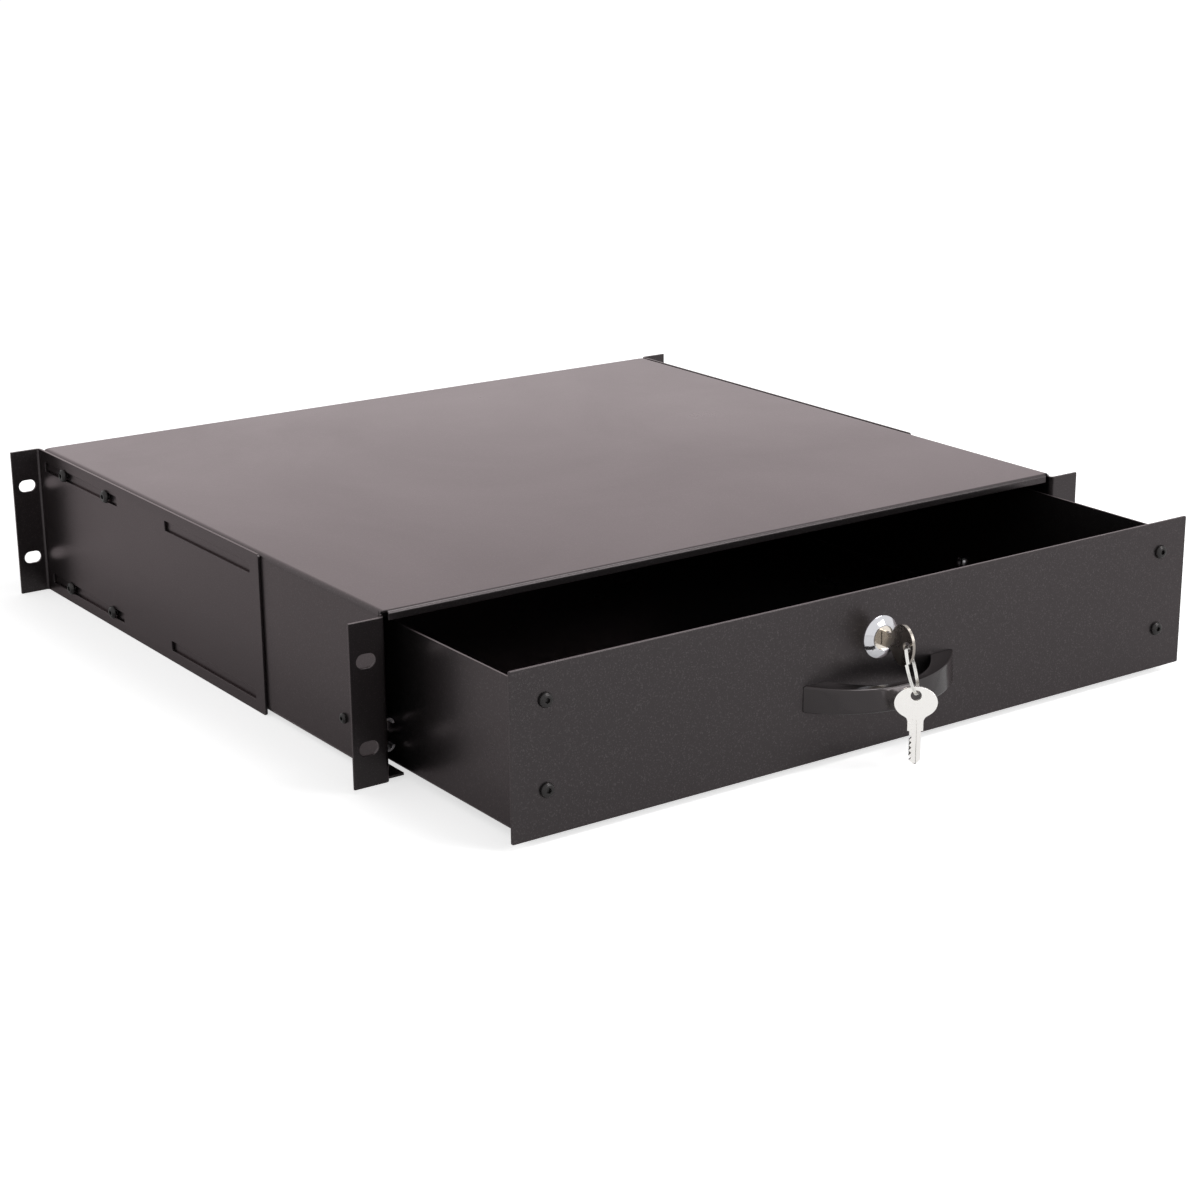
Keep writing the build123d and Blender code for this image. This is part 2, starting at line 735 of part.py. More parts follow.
with BuildPart(looking_back(0, cam_rear, lock_z)) as cam_screw:
    add(cap_screw(m4_radius, m4_head_radius, m4_head_height, m4_socket_width, cam_screw_length))
save(cam_screw.part, "cam_screw")


def key_blank():
    """Flat key on the XY plane: the ring hole is at the origin and the blade points along -Y."""
    groove_run = key_neck_length + key_blade_length + key_groove_width
    with BuildPart() as key:
        with BuildSketch() as outline:
            with Locations((0, key_bow_middle)):
                Ellipse(key_bow_width / 2, key_bow_length / 2)
            with Locations((0, key_neck_end)):
                Rectangle(key_neck_width, key_bow_middle - key_neck_end, align=(Align.CENTER, Align.MIN))
            fillet(outline.vertices().group_by(Axis.Y)[1], key_shoulder_round)
            with Locations((0, key_neck_end)):
                Rectangle(key_blade_width, key_blade_length, align=(Align.CENTER, Align.MAX))
            chamfer(outline.vertices().group_by(Axis.Y)[0], key_blade_width * key_tip_share)
            with Locations((-key_blade_width / 2, key_neck_end - key_blade_length / 2)):
                with GridLocations(key_cut_pitch, key_cut_pitch, 1, key_cuts):
                    RegularPolygon(key_cut_size, 4, mode=Mode.SUBTRACT)
            Circle(key_hole_radius, mode=Mode.SUBTRACT)
        extrude(amount=key_thickness / 2, both=True)
        with BuildSketch(Plane.XY.offset(key_thickness / 2)):
            with Locations((-key_groove_shift, key_neck_end + key_neck_length)):
                SlotOverall(groove_run, key_groove_width, rotation=90, align=(Align.MAX, Align.CENTER))
        extrude(amount=-key_groove_depth, mode=Mode.SUBTRACT)
    return key.part


# Key in the lock, with its bow upright in front of the plug
with BuildPart(Plane(origin=(0, key_hole_y, lock_z), x_dir=(0, 0, 1), z_dir=(1, 0, 0))) as inserted_key:
    add(key_blank())
save(inserted_key.part, "inserted_key")

# Split ring: two turns of flat wire, with its ends at one side
ring_pitch = ring_wire_thickness + ring_gap
with BuildPart() as ring_turns:
    with BuildLine() as ring_path:
        Helix(ring_pitch, 2 * ring_pitch, ring_radius)
    with BuildSketch(Plane(origin=ring_path.line @ 0, x_dir=(1, 0, 0), z_dir=ring_path.line % 0)):
        Rectangle(ring_wire_width, ring_wire_thickness)
    sweep(is_frenet=True)

# The ring hangs from the hole of the key in the lock and leans out over the handle
ring_top = Vector(0, key_hole_y + ring_in_hole, lock_z)
ring_hang = Plane(origin=ring_top, x_dir=Vector(ring_down).cross(Vector(ring_normal)), z_dir=ring_normal)
ring_middle = ring_top + ring_hang.y_dir * ring_radius
ring_low = ring_middle + ring_hang.y_dir * ring_radius
ring_centre = Plane(origin=ring_middle, x_dir=ring_hang.x_dir, z_dir=ring_normal)
with BuildPart(ring_centre.offset(-ring_pitch)) as key_ring:
    add(ring_turns.part)
save(key_ring.part, "key_ring")

# Spare key that hangs from the low point of the ring
spare_key_right = Vector(0, 0, 1).cross(Vector(spare_key_facing)).normalized()
spare_key_hole = ring_low - spare_key_right * spare_key_shift - Vector(0, 0, spare_key_drop)
with BuildPart(Plane(origin=spare_key_hole, x_dir=spare_key_right, z_dir=spare_key_facing)) as spare_key:
    add(key_blank())
save(spare_key.part, "spare_key")
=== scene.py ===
import json
import math

import bmesh
import bpy
from mathutils import Matrix, Vector


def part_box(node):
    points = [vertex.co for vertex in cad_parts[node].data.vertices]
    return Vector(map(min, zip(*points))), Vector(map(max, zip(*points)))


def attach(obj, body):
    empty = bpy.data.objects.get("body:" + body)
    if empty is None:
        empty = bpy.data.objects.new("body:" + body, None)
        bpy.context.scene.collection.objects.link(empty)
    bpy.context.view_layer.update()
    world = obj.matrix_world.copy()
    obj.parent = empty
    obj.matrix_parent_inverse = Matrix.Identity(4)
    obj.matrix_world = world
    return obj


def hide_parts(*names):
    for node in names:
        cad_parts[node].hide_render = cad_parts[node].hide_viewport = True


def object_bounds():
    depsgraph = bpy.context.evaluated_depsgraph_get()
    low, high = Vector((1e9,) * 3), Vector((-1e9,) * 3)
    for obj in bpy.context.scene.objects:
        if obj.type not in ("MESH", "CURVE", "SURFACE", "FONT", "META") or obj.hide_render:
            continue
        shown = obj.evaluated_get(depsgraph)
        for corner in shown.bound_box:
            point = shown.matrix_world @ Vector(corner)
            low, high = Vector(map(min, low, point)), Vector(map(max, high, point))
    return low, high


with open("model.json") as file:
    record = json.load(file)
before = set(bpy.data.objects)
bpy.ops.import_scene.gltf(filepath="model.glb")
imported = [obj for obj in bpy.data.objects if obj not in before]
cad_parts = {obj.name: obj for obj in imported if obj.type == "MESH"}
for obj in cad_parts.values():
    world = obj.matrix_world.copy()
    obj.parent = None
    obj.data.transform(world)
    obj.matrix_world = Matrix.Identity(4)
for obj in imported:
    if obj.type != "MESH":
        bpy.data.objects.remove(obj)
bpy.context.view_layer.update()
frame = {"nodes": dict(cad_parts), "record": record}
nodes = frame["nodes"]
slotOf = {part["node"]: part["material_slot"] for part in frame["record"]["subparts"]}
scene = bpy.context.scene
scene.view_settings.view_transform = "Standard"
print("frame loaded:", len(nodes), "nodes")


# Small helpers for node trees

def addNode(tree, kind, settings=None, inputs=None):
    node = tree.nodes.new(kind)
    for name, value in (settings or {}).items():
        setattr(node, name, value)
    for name, value in (inputs or {}).items():
        node.inputs[name].default_value = value
    return node


def newGroup(name, inputs, outputs):
    group = bpy.data.node_groups.new(name, "ShaderNodeTree")
    for socket, kind, value in inputs:
        made = group.interface.new_socket(socket, in_out="INPUT", socket_type=kind)
        if value is not None:
            made.default_value = value
    for socket, kind in outputs:
        group.interface.new_socket(socket, in_out="OUTPUT", socket_type=kind)
    return group, group.nodes.new("NodeGroupInput"), group.nodes.new("NodeGroupOutput")


def placeGroup(tree, group, **values):
    node = tree.nodes.new("ShaderNodeGroup")
    node.node_tree = group
    for name, value in values.items():
        node.inputs[name].default_value = value
    return node


# Shared effects: powder grain, soft stains and drawn lines

def buildPowderGrain():
    group, start, end = newGroup(
        "powderGrain",
        [("Vector", "NodeSocketVector", None), ("Grain", "NodeSocketFloat", 1100.0),
         ("Orange Peel", "NodeSocketFloat", 320.0)],
        [("Height", "NodeSocketFloat"), ("Fleck", "NodeSocketFloat")])
    fine = addNode(group, "ShaderNodeTexNoise", inputs={"Detail": 2.0, "Roughness": 0.55})
    peel = addNode(group, "ShaderNodeTexNoise", inputs={"Detail": 1.0})
    blend = addNode(group, "ShaderNodeMath", {"operation": "MULTIPLY_ADD"}, {1: 0.55})
    fleck = addNode(group, "ShaderNodeMapRange", inputs={"From Min": 0.56, "From Max": 0.72})
    group.links.new(start.outputs["Vector"], fine.inputs["Vector"])
    group.links.new(start.outputs["Vector"], peel.inputs["Vector"])
    group.links.new(start.outputs["Grain"], fine.inputs["Scale"])
    group.links.new(start.outputs["Orange Peel"], peel.inputs["Scale"])
    group.links.new(peel.outputs["Fac"], blend.inputs[0])
    group.links.new(fine.outputs["Fac"], blend.inputs[2])
    group.links.new(fine.outputs["Fac"], fleck.inputs["Value"])
    group.links.new(blend.outputs["Value"], end.inputs["Height"])
    group.links.new(fleck.outputs["Result"], end.inputs["Fleck"])
    return group


def buildSoftStains():
    group, start, end = newGroup(
        "softStains",
        [("Vector", "NodeSocketVector", None), ("Scale", "NodeSocketFloat", 14.0),
         ("Low", "NodeSocketFloat", 0.3), ("High", "NodeSocketFloat", 0.4)],
        [("Value", "NodeSocketFloat")])
    cloud = addNode(group, "ShaderNodeTexNoise", inputs={"Detail": 5.0, "Roughness": 0.6, "Distortion": 0.6})
    spread = addNode(group, "ShaderNodeMapRange", inputs={"From Min": 0.3, "From Max": 0.7})
    group.links.new(start.outputs["Vector"], cloud.inputs["Vector"])
    group.links.new(start.outputs["Scale"], cloud.inputs["Scale"])
    group.links.new(cloud.outputs["Fac"], spread.inputs["Value"])
    group.links.new(start.outputs["Low"], spread.inputs["To Min"])
    group.links.new(start.outputs["High"], spread.inputs["To Max"])
    group.links.new(spread.outputs["Result"], end.inputs["Value"])
    return group


def buildDrawnLines():
    group, start, end = newGroup(
        "drawnLines",
        [("Vector", "NodeSocketVector", None), ("Stretch", "NodeSocketVector", (1.0, 1.0, 1.0))],
        [("Height", "NodeSocketFloat")])
    scaled = addNode(group, "ShaderNodeVectorMath", {"operation": "MULTIPLY"})
    lines = addNode(group, "ShaderNodeTexNoise", inputs={"Scale": 1.0, "Detail": 3.0, "Roughness": 0.6})
    group.links.new(start.outputs["Vector"], scaled.inputs[0])
    group.links.new(start.outputs["Stretch"], scaled.inputs[1])
    group.links.new(scaled.outputs["Vector"], lines.inputs["Vector"])
    group.links.new(lines.outputs["Fac"], end.inputs["Height"])
    return group


powderGrain = buildPowderGrain()
softStains = buildSoftStains()
drawnLines = buildDrawnLines()


# Finishes. Colours are linear.

def newFinish(name, color, metallic, roughness, ior=1.5):
    material = bpy.data.materials.new(name)
    material.use_nodes = True
    tree = material.node_tree
    shader = tree.nodes["Principled BSDF"]
    shader.inputs["Base Color"].default_value = (*color, 1.0)
    shader.inputs["Metallic"].default_value = metallic
    shader.inputs["Roughness"].default_value = roughness
    shader.inputs["IOR"].default_value = ior
    place = addNode(tree, "ShaderNodeTexCoord")
    return material, tree, shader, place.outputs["Object"]


def addBump(tree, shader, height, strength, distance):
    bump = addNode(tree, "ShaderNodeBump", inputs={"Strength": strength, "Distance": distance})
    tree.links.new(height, bump.inputs["Height"])
    tree.links.new(bump.outputs["Normal"], shader.inputs["Normal"])


def addStains(tree, shader, place, scale, low, high):
    stains = placeGroup(tree, softStains, Scale=scale, Low=low, High=high)
    tree.links.new(place, stains.inputs["Vector"])
    tree.links.new(stains.outputs["Value"], shader.inputs["Roughness"])


powderCoat = {
    "color": (0.056, 0.0500, 0.0514),
    "fleckColor": (0.095, 0.086, 0.088),
    "metallic": 0.90,  # gives the warm tint that the photographed coat has where light grazes it
    "sheenTint": (1.0, 0.90, 0.915, 1.0),
    "grain": 1500.0,
    "peel": 420.0,
    "bump": 0.35,
    "depth": 0.00005,
    "roughness": (0.27, 0.32),
}


def makePowderCoat():
    material, tree, shader, place = newFinish("powderCoat", powderCoat["color"], powderCoat["metallic"], 0.25)
    shader.inputs["Specular Tint"].default_value = powderCoat["sheenTint"]
    grain = placeGroup(tree, powderGrain, Grain=powderCoat["grain"])
    grain.inputs["Orange Peel"].default_value = powderCoat["peel"]
    tree.links.new(place, grain.inputs["Vector"])
    colors = addNode(tree, "ShaderNodeMix", {"data_type": "RGBA"})
    colors.inputs["A"].default_value = (*powderCoat["color"], 1.0)
    colors.inputs["B"].default_value = (*powderCoat["fleckColor"], 1.0)
    tree.links.new(grain.outputs["Fleck"], colors.inputs["Factor"])
    tree.links.new(colors.outputs["Result"], shader.inputs["Base Color"])
    addStains(tree, shader, place, 6.0, *powderCoat["roughness"])
    addBump(tree, shader, grain.outputs["Height"], powderCoat["bump"], powderCoat["depth"])
    return material


def makeGlossBlack():
    material, tree, shader, place = newFinish("glossBlack", (0.0065, 0.0062, 0.0063), 0.0, 0.16, 1.55)
    shader.inputs["Specular Tint"].default_value = powderCoat["sheenTint"]
    addStains(tree, shader, place, 55.0, 0.12, 0.20)
    return material


def makeBlackScrew():
    material, tree, shader, place = newFinish("blackScrew", (0.035, 0.033, 0.033), 0.75, 0.28)
    addStains(tree, shader, place, 400.0, 0.20, 0.36)
    return material


def makeDrawnMetal(name, color, low, high, stretch, strength, stainScale=120.0):
    material, tree, shader, place = newFinish(name, color, 1.0, low)
    addStains(tree, shader, place, stainScale, low, high)
    lines = placeGroup(tree, drawnLines, Stretch=stretch)
    tree.links.new(place, lines.inputs["Vector"])
    addBump(tree, shader, lines.outputs["Height"], strength, 0.00003)
    return material


finishes = {
    "powder_coat": makePowderCoat(),
    "gloss_black": makeGlossBlack(),
    "black_screw": makeBlackScrew(),
    "zinc_steel": makeDrawnMetal("zincSteel", (0.62, 0.62, 0.63), 0.24, 0.38, (500, 60, 500), 0.25),
    "cage_steel": makeDrawnMetal("cageSteel", (0.50, 0.50, 0.51), 0.30, 0.45, (700, 40, 700), 0.3),
    "ball_steel": makeDrawnMetal("ballSteel", (0.75, 0.75, 0.77), 0.04, 0.10, (300, 300, 300), 0.02),
    "lock_chrome": makeDrawnMetal("lockChrome", (0.66, 0.66, 0.69), 0.05, 0.11, (400, 400, 400), 0.03),
    "lock_brass": makeDrawnMetal("lockBrass", (0.86, 0.79, 0.70), 0.20, 0.32, (900, 200, 900), 0.3),
    "dark_key": makeDrawnMetal("darkKey", (0.34, 0.31, 0.28), 0.20, 0.36, (200, 900, 1800), 0.3),
    "bright_key": makeDrawnMetal("brightKey", (0.99, 0.97, 0.94), 0.18, 0.30, (1200, 1200, 250), 0.25),
    "ring_steel": makeDrawnMetal("ringSteel", (0.82, 0.81, 0.78), 0.12, 0.24, (900, 900, 900), 0.15),
}
for name, obj in nodes.items():
    obj.data.materials.clear()
    obj.data.materials.append(finishes[slotOf[name]])
print("finishes placed:", len(finishes))


# Pieces with broken edges: a merged copy of the node's mesh, bevelled

bodyOf = {node: body for body, held in frame["record"]["behaviour"]["bodies"].items() for node in held}


creases = {  # metres, then degrees
    "merge": 1e-6,
    "flat": 0.5,
    "folded": 28.0,
    "screw": 32.0,
    "bezel": 50.0,
}


def smoothFaces(work, sharpFrom):
    for face in work.faces:
        face.smooth = True
    for edge in work.edges:
        closed = len(edge.link_faces) == 2
        edge.smooth = closed and edge.calc_face_angle(0.0) < math.radians(sharpFrom)


def mergedCopy(node):
    mesh = nodes[node].data.copy()
    work = bmesh.new()
    work.from_mesh(mesh)
    bmesh.ops.remove_doubles(work, verts=work.verts, dist=creases["merge"])
    flat = math.radians(creases["flat"])
    bmesh.ops.dissolve_limit(work, angle_limit=flat, verts=work.verts, edges=work.edges)
    smoothFaces(work, creases["folded"])
    if mesh.attributes.get("custom_normal"):
        mesh.attributes.remove(mesh.attributes["custom_normal"])
    work.to_mesh(mesh)
    work.free()
    return mesh


def addPiece(name, mesh, *stoodFor):
    piece = bpy.data.objects.new(name, mesh)
    scene.collection.objects.link(piece)
    mesh.materials.clear()
    mesh.materials.append(finishes[slotOf[stoodFor[0]]])
    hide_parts(*stoodFor)
    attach(piece, bodyOf[stoodFor[0]])


brokenEdges = {
    "housing": (0.00030, 2),
    "rear_bracket_left": (0.00028, 2),
    "rear_bracket_right": (0.00028, 2),
    "drawer_tray": (0.00022, 2),
    "drawer_front_panel": (0.00034, 3),
    "pull_handle": (0.00040, 2),
    "slide_outer_left": (0.00015, 1),
    "slide_outer_right": (0.00015, 1),
    "slide_inner_left": (0.00015, 1),
    "slide_inner_right": (0.00015, 1),
    "lock_nut": (0.00030, 2),
    "lock_cam": (0.00022, 2),
    "lock_plug": (0.00012, 2),
    "inserted_key": (0.00016, 2),
    "spare_key": (0.00016, 2),
    "panel_nuts": (0.00025, 2),
    "bracket_clamp_nuts": (0.00025, 2),
}


def breakEdges(node, width, segments):
    blank = bpy.data.objects.new(node + "_blank", mergedCopy(node))
    scene.collection.objects.link(blank)
    edged = blank.modifiers.new("brokenEdge", "BEVEL")
    edged.width = width
    edged.segments = segments
    edged.limit_method = "ANGLE"
    edged.angle_limit = math.radians(creases["folded"])
    edged.use_clamp_overlap = False
    edged.harden_normals = True
    mesh = bpy.data.meshes.new_from_object(blank.evaluated_get(bpy.context.evaluated_depsgraph_get()))
    mesh.name = node + "_edged"
    bpy.data.objects.remove(blank)
    low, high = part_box(node)
    for vert in mesh.vertices:  # a corner of three edges may overshoot, so it is held to the CAD's box
        vert.co = [min(max(vert.co[axis], low[axis]), high[axis]) for axis in range(3)]
    addPiece(node + "_edged", mesh, node)


for node, (width, segments) in brokenEdges.items():
    breakEdges(node, width, segments)
print("edges broken on", len(brokenEdges), "pieces")


# Lock body: the barrel from the CAD, under a bezel turned with many more steps
lockBezel = {
    "steps": 96,
    "proud": 0.00001,
    "profile": [  # distance from the axis, then height in front of the panel
        (0.00625, 0.0), (0.00625, 0.00285), (0.00640, 0.00300), (0.00688, 0.00300), (0.00706, 0.00293),
        (0.01086, 0.00061), (0.01100, 0.00046), (0.01100, 0.0),
    ],
}


def ringOf(work, radius, height, count):
    turns = [2 * math.pi * step / count for step in range(count)]
    return [work.verts.new((radius * math.cos(a), radius * math.sin(a), height)) for a in turns]


def bridge(work, lower, upper):
    for step, vert in enumerate(lower):
        after = (step + 1) % len(lower)
        work.faces.new((vert, lower[after], upper[after], upper[step]))


def addLockBody():
    mesh = mergedCopy("lock_body")
    low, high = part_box("lock_body")
    tallest = max(height for radius, height in lockBezel["profile"])
    seat = Matrix.Translation(((low[0] + high[0]) / 2, low[1] + tallest, (low[2] + high[2]) / 2))
    work = bmesh.new()
    loops = [ringOf(work, radius + lockBezel["proud"], height + lockBezel["proud"], lockBezel["steps"])
             for radius, height in lockBezel["profile"]]
    for lower, upper in zip(loops, loops[1:] + loops[:1]):
        bridge(work, lower, upper)
    bmesh.ops.recalc_face_normals(work, faces=work.faces)
    smoothFaces(work, creases["bezel"])
    forward = Matrix.Rotation(math.radians(90.0), 4, "X")
    bmesh.ops.transform(work, matrix=seat @ forward, verts=work.verts)
    work.from_mesh(mesh)
    work.to_mesh(mesh)
    work.free()
    addPiece("lock_body_turned", mesh, "lock_body")


addLockBody()
print("lock bezel turned")


# Screws: one turned shape with a socket and a thread, set on its seats by Geometry Nodes

m4Screw = {"head": 0.0038, "height": 0.0022, "socket": 0.0025, "shank": 0.0020}
m3Screw = {"head": 0.0028, "height": 0.0018, "socket": 0.0020, "shank": 0.0015}
screws = {
    "rings": 24,
    "threadPitch": 0.0007,
    "threadDepth": 0.00022,
    "tipLength": 0.0004,
    "socketDepth": 0.55,
    "headGap": 0.00002,
    "domeSteps": 6,
    "seed": 7,
    "sets": {  # the screw, and the way its head faces; sideways ones face away from the middle
        "panel_screws": dict(m4Screw, out=(0, -1, 0)),
        "bracket_clamp_screws": dict(m4Screw, out=(1, 0, 0)),
        "slide_screws": dict(m3Screw, out=(1, 0, 0)),
        "drawer_slide_screws": dict(m4Screw, out=(-1, 0, 0)),
        "handle_screws": dict(m4Screw, out=(0, 1, 0)),
        "cam_screw": dict(m4Screw, out=(0, 1, 0)),
    },
}


def solidBoxes(node):
    work = bmesh.new()
    work.from_mesh(nodes[node].data)
    bmesh.ops.remove_doubles(work, verts=work.verts, dist=creases["merge"])
    left = set(work.verts)
    boxes = []
    while left:
        heap = [left.pop()]
        points = []
        while heap:
            vert = heap.pop()
            points.append(vert.co.copy())
            for edge in vert.link_edges:
                other = edge.other_vert(vert)
                if other in left:
                    left.remove(other)
                    heap.append(other)
        low = Vector([min(point[axis] for point in points) for axis in range(3)])
        high = Vector([max(point[axis] for point in points) for axis in range(3)])
        boxes.append((low, high))
    work.free()
    return sorted(boxes, key=lambda box: tuple(round(value, 5) for value in box[0]))


def hexOf(work, width, height, count):
    corner = width / math.sqrt(3.0)
    verts = []
    for step in range(count):
        angle = 2 * math.pi * step / count
        inSector = (angle % (math.pi / 3)) - math.pi / 6
        reach = corner * math.cos(math.pi / 6) / math.cos(inSector)
        verts.append(work.verts.new((reach * math.cos(angle), reach * math.sin(angle), height)))
    return verts


def buildScrewShape(name, sizes, length):
    count = screws["rings"]
    head, height, shank = sizes["head"], sizes["height"], sizes["shank"]
    work = bmesh.new()
    tip = screws["tipLength"]
    loops = [ringOf(work, shank * 0.6, -length, count), ringOf(work, shank * 0.86, -length + tip, count)]
    depth = length - tip
    while depth > screws["threadPitch"]:
        depth -= screws["threadPitch"] / 2
        loops.append(ringOf(work, shank, -depth, count))
        depth -= screws["threadPitch"] / 2
        loops.append(ringOf(work, shank - screws["threadDepth"], -depth, count))
    loops.append(ringOf(work, shank, 0.0, count))
    loops.append(ringOf(work, head * 0.97, screws["headGap"], count))
    loops.append(ringOf(work, head, head * 0.03, count))
    for step in range(screws["domeSteps"] + 1):
        share = step / screws["domeSteps"]
        rise = height * (0.16 + 0.84 * math.sin(share * math.pi / 2))
        reach = head * (0.995 - 0.44 * (1 - math.cos(share * math.pi / 2)))
        loops.append(ringOf(work, reach, rise, count))
    loops.append(hexOf(work, sizes["socket"] * 1.12, height, count))
    loops.append(hexOf(work, sizes["socket"], height - 0.00012, count))
    loops.append(hexOf(work, sizes["socket"], height * (1 - screws["socketDepth"]), count))
    for lower, upper in zip(loops, loops[1:]):
        bridge(work, lower, upper)
    work.faces.new(list(reversed(loops[0])))
    work.faces.new(loops[-1])
    bmesh.ops.recalc_face_normals(work, faces=work.faces)
    smoothFaces(work, creases["screw"])
    mesh = bpy.data.meshes.new(name)
    work.to_mesh(mesh)
    work.free()
    shape = bpy.data.objects.new(name, mesh)
    scene.collection.objects.link(shape)
    return shape


def buildSeatTree():
    tree = bpy.data.node_groups.new("screwsOnSeats", "GeometryNodeTree")
    for socket, kind in (("Geometry", "NodeSocketGeometry"), ("Screw", "NodeSocketObject"),
                         ("Finish", "NodeSocketMaterial"), ("Seed", "NodeSocketInt")):
        tree.interface.new_socket(socket, in_out="INPUT", socket_type=kind)
    tree.interface.new_socket("Geometry", in_out="OUTPUT", socket_type="NodeSocketGeometry")
    start, end = tree.nodes.new("NodeGroupInput"), tree.nodes.new("NodeGroupOutput")
    info = addNode(tree, "GeometryNodeObjectInfo")
    out = addNode(tree, "GeometryNodeInputNamedAttribute", {"data_type": "FLOAT_VECTOR"}, {"Name": "out"})
    aim = addNode(tree, "FunctionNodeAlignRotationToVector", {"axis": "Z"})
    spin = addNode(tree, "FunctionNodeRandomValue", {"data_type": "FLOAT"}, {"Max": 1.0472})
    spinEach = addNode(tree, "ShaderNodeCombineXYZ")
    turn = addNode(tree, "FunctionNodeRotateRotation", {"rotation_space": "LOCAL"})
    place = addNode(tree, "GeometryNodeInstanceOnPoints")
    real = addNode(tree, "GeometryNodeRealizeInstances")
    coat = addNode(tree, "GeometryNodeSetMaterial")
    links = tree.links
    links.new(start.outputs["Screw"], info.inputs["Object"])
    links.new(start.outputs["Seed"], spin.inputs["Seed"])
    links.new(out.outputs["Attribute"], aim.inputs["Vector"])
    links.new(spin.outputs[1], spinEach.inputs["Z"])
    links.new(aim.outputs["Rotation"], turn.inputs["Rotation"])
    links.new(spinEach.outputs["Vector"], turn.inputs["Rotate By"])
    links.new(start.outputs["Geometry"], place.inputs["Points"])
    links.new(info.outputs["Geometry"], place.inputs["Instance"])
    links.new(turn.outputs["Rotation"], place.inputs["Rotation"])
    links.new(place.outputs["Instances"], real.inputs["Geometry"])
    links.new(real.outputs["Geometry"], coat.inputs["Geometry"])
    links.new(start.outputs["Finish"], coat.inputs["Material"])
    links.new(coat.outputs["Geometry"], end.inputs["Geometry"])
    return tree


def seatScrews(node, sizes, tree):
    seats, outs = [], []
    for low, high in solidBoxes(node):
        middle = (low + high) / 2
        out = Vector(sizes["out"])
        if out.x:
            out *= math.copysign(1.0, middle.x)
        axis = max(range(3), key=lambda a: abs(out[a]))
        length = (high - low)[axis] - sizes["height"]
        middle[axis] = (high if out[axis] > 0 else low)[axis] - sizes["height"] * out[axis]
        seats.append(middle)
        outs.append(out)
    shape = buildScrewShape(node + "_shape", sizes, length)
    points = bpy.data.meshes.new(node + "_seats")
    points.from_pydata(seats, [], [])
    stored = points.attributes.new("out", "FLOAT_VECTOR", "POINT")
    for index, out in enumerate(outs):
        stored.data[index].vector = out
    holder = bpy.data.objects.new(node + "_seats", points)
    scene.collection.objects.link(holder)
    maker = holder.modifiers.new("screwsOnSeats", "NODES")
    maker.node_group = tree
    given = {"Screw": shape, "Finish": finishes[slotOf[node]], "Seed": screws["seed"]}
    for item in tree.interface.items_tree:
        if item.in_out == "INPUT" and item.name in given:
            maker[item.identifier] = given[item.name]
    ready = holder.evaluated_get(bpy.context.evaluated_depsgraph_get())
    mesh = bpy.data.meshes.new_from_object(ready)
    mesh.name = node + "_turned"
    bpy.data.objects.remove(holder)
    bpy.data.objects.remove(shape)
    addPiece(node + "_turned", mesh, node)
    return len(seats)


seatTree = buildSeatTree()
placed = sum(seatScrews(node, sizes, seatTree) for node, sizes in screws["sets"].items())
print("screws seated:", placed)


# Camera, from a fit to the rack holes and folded edges in the photograph. Millimetres and degrees.
view = {
    "place": (-786.2, -993.5, 406.35),
    "azimuth": -36.56,
    "elevation": 17.68,
    "roll": 0.03,
    "focalPixels": 2502.2,
    "centrePixels": (674.8, 611.9),
    "imagePixels": 1200.0,
}


def addCamera():
    data = bpy.data.cameras.new("photoCamera")
    camera = bpy.data.objects.new("photoCamera", data)
    scene.collection.objects.link(camera)
    data.sensor_fit = "HORIZONTAL"
    data.sensor_width = 36.0
    data.lens = view["focalPixels"] / view["imagePixels"] * data.sensor_width
    data.shift_x = 0.5 - view["centrePixels"][0] / view["imagePixels"]
    data.shift_y = view["centrePixels"][1] / view["imagePixels"] - 0.5
    data.clip_end = 50.0
    turn = Matrix.Rotation(math.radians(view["azimuth"]), 4, "Z")
    tip = Matrix.Rotation(math.radians(90.0 - view["elevation"]), 4, "X")
    lean = Matrix.Rotation(math.radians(view["roll"]), 4, "Z")
    spot = Matrix.Translation(Vector(view["place"]) / 1000.0)
    camera.matrix_world = spot @ turn @ tip @ lean
    scene.camera = camera


# Studio: white room, pale floor that keeps the shadow, soft lamps
studio = {
    "floorSize": 24.0,
    "roomLight": 0.46,
    "floorColor": 0.86,
    "floorGlow": 0.64,
    "mirroredGlow": 0.16,
    "lamps": {
        "topSoft": {"at": (0.8, -0.65, 1.85), "to": (0.0, 0.0, 0.0), "size": (1.2, 0.8), "watts": 15.0},
        "frontSoft": {"at": (1.3, -2.2, 1.1), "to": (0.0, -0.1, 0.0), "size": (1.4, 1.0), "watts": 20.0},
        "backSoft": {"at": (1.0, 3.4, 1.0), "to": (0.1, 0.2, 0.1), "size": (5.2, 1.9), "watts": 8.0},
    },
}


def addRoom():
    world = bpy.data.worlds.new("studioRoom")
    world.use_nodes = True
    tree = world.node_tree
    paths = addNode(tree, "ShaderNodeLightPath")
    seen = addNode(tree, "ShaderNodeMath", {"operation": "MAXIMUM"})
    seenThrough = addNode(tree, "ShaderNodeMath", {"operation": "MAXIMUM"})
    light = addNode(tree, "ShaderNodeMapRange", inputs={"To Min": studio["roomLight"], "To Max": 1.0})
    tree.links.new(paths.outputs["Is Camera Ray"], seen.inputs[0])
    tree.links.new(paths.outputs["Is Glossy Ray"], seen.inputs[1])
    tree.links.new(seen.outputs["Value"], seenThrough.inputs[0])
    tree.links.new(paths.outputs["Is Transmission Ray"], seenThrough.inputs[1])
    tree.links.new(seenThrough.outputs["Value"], light.inputs["Value"])
    tree.links.new(light.outputs["Result"], tree.nodes["Background"].inputs["Strength"])
    tree.nodes["Background"].inputs["Color"].default_value = (1.0, 1.0, 1.0, 1.0)
    scene.world = world


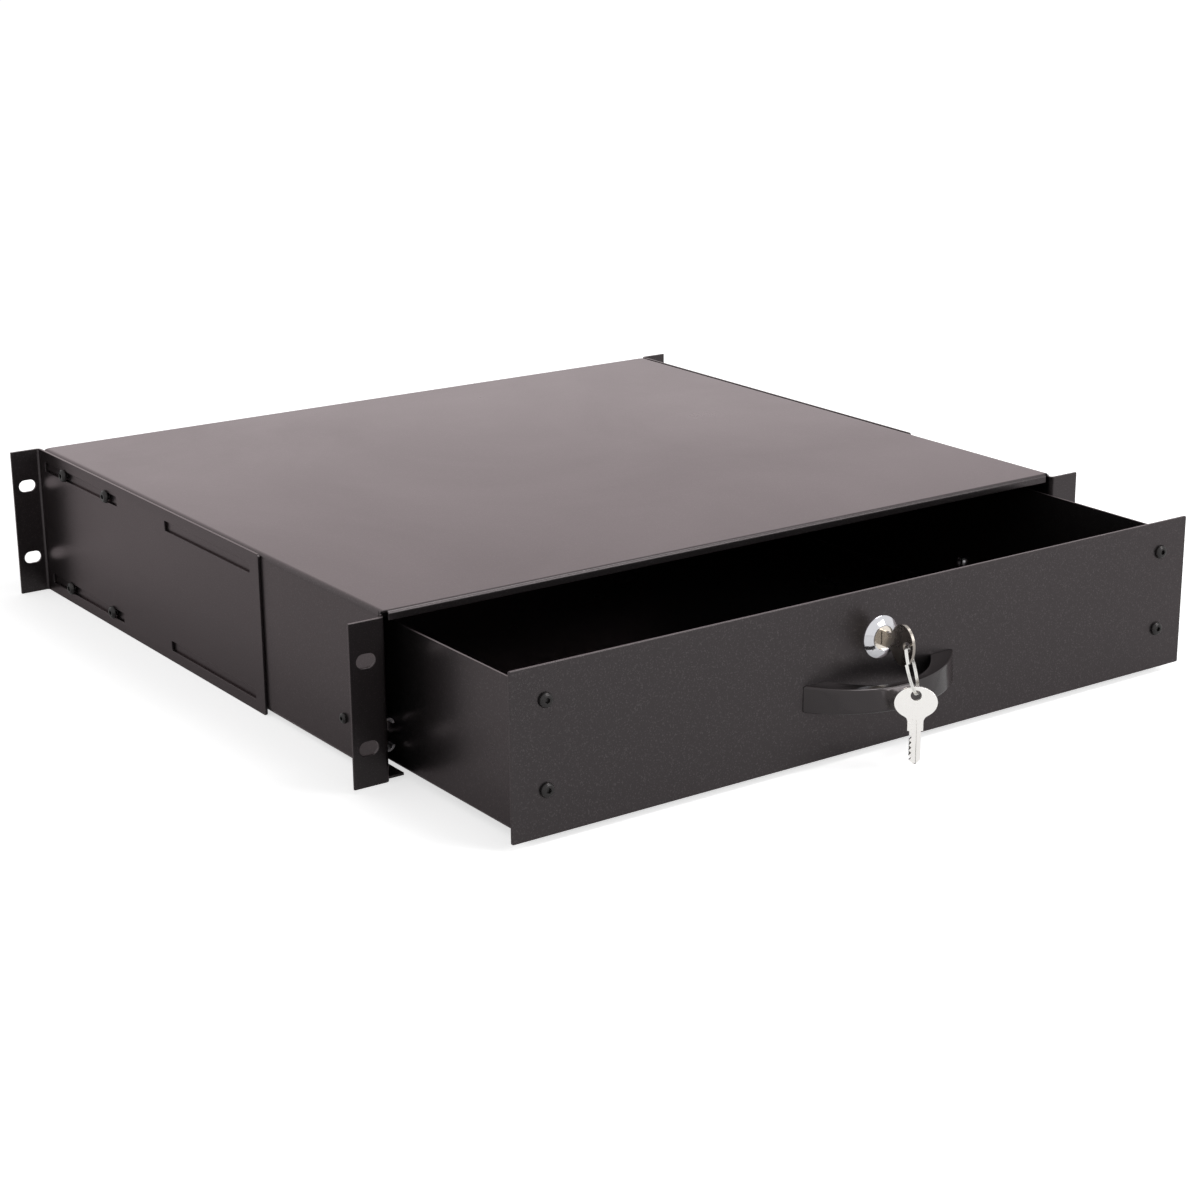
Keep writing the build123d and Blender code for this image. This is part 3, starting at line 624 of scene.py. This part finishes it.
def addFloor():
    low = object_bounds()[0][2]
    half = studio["floorSize"] / 2
    mesh = bpy.data.meshes.new("floor")
    corners = [(-half, -half, low), (half, -half, low), (half, half, low), (-half, half, low)]
    mesh.from_pydata(corners, [], [(0, 1, 2, 3)])
    floor = bpy.data.objects.new("floor", mesh)
    scene.collection.objects.link(floor)
    material = bpy.data.materials.new("paleFloor")
    material.use_nodes = True
    tree = material.node_tree
    tree.nodes.clear()
    paper = addNode(tree, "ShaderNodeBsdfDiffuse")
    paper.inputs["Color"].default_value = (studio["floorColor"],) * 3 + (1.0,)
    glow = addNode(tree, "ShaderNodeEmission")
    paths = addNode(tree, "ShaderNodeLightPath")
    seen = addNode(tree, "ShaderNodeMath", {"operation": "MULTIPLY"}, {1: studio["floorGlow"]})
    mirrored = addNode(tree, "ShaderNodeMath", {"operation": "MAXIMUM"})
    lift = addNode(tree, "ShaderNodeMath", {"operation": "MULTIPLY_ADD"}, {1: studio["mirroredGlow"]})
    both = addNode(tree, "ShaderNodeAddShader")
    end = addNode(tree, "ShaderNodeOutputMaterial")
    tree.links.new(paths.outputs["Is Camera Ray"], seen.inputs[0])
    tree.links.new(paths.outputs["Is Glossy Ray"], mirrored.inputs[0])
    tree.links.new(paths.outputs["Is Transmission Ray"], mirrored.inputs[1])
    tree.links.new(mirrored.outputs["Value"], lift.inputs[0])
    tree.links.new(seen.outputs["Value"], lift.inputs[2])
    tree.links.new(lift.outputs["Value"], glow.inputs["Strength"])
    tree.links.new(paper.outputs["BSDF"], both.inputs[0])
    tree.links.new(glow.outputs["Emission"], both.inputs[1])
    tree.links.new(both.outputs["Shader"], end.inputs["Surface"])
    mesh.materials.append(material)


def addLamps():
    for name, lamp in studio["lamps"].items():
        data = bpy.data.lights.new(name, "AREA")
        data.shape = "RECTANGLE"
        data.size, data.size_y = lamp["size"]
        data.energy = lamp["watts"]
        obj = bpy.data.objects.new(name, data)
        scene.collection.objects.link(obj)
        aim = Vector(lamp["to"]) - Vector(lamp["at"])
        obj.matrix_world = Matrix.Translation(lamp["at"]) @ aim.to_track_quat("-Z", "Y").to_matrix().to_4x4()
        obj.visible_camera = False


addCamera()
addRoom()
addFloor()
addLamps()
print("camera and studio ready")
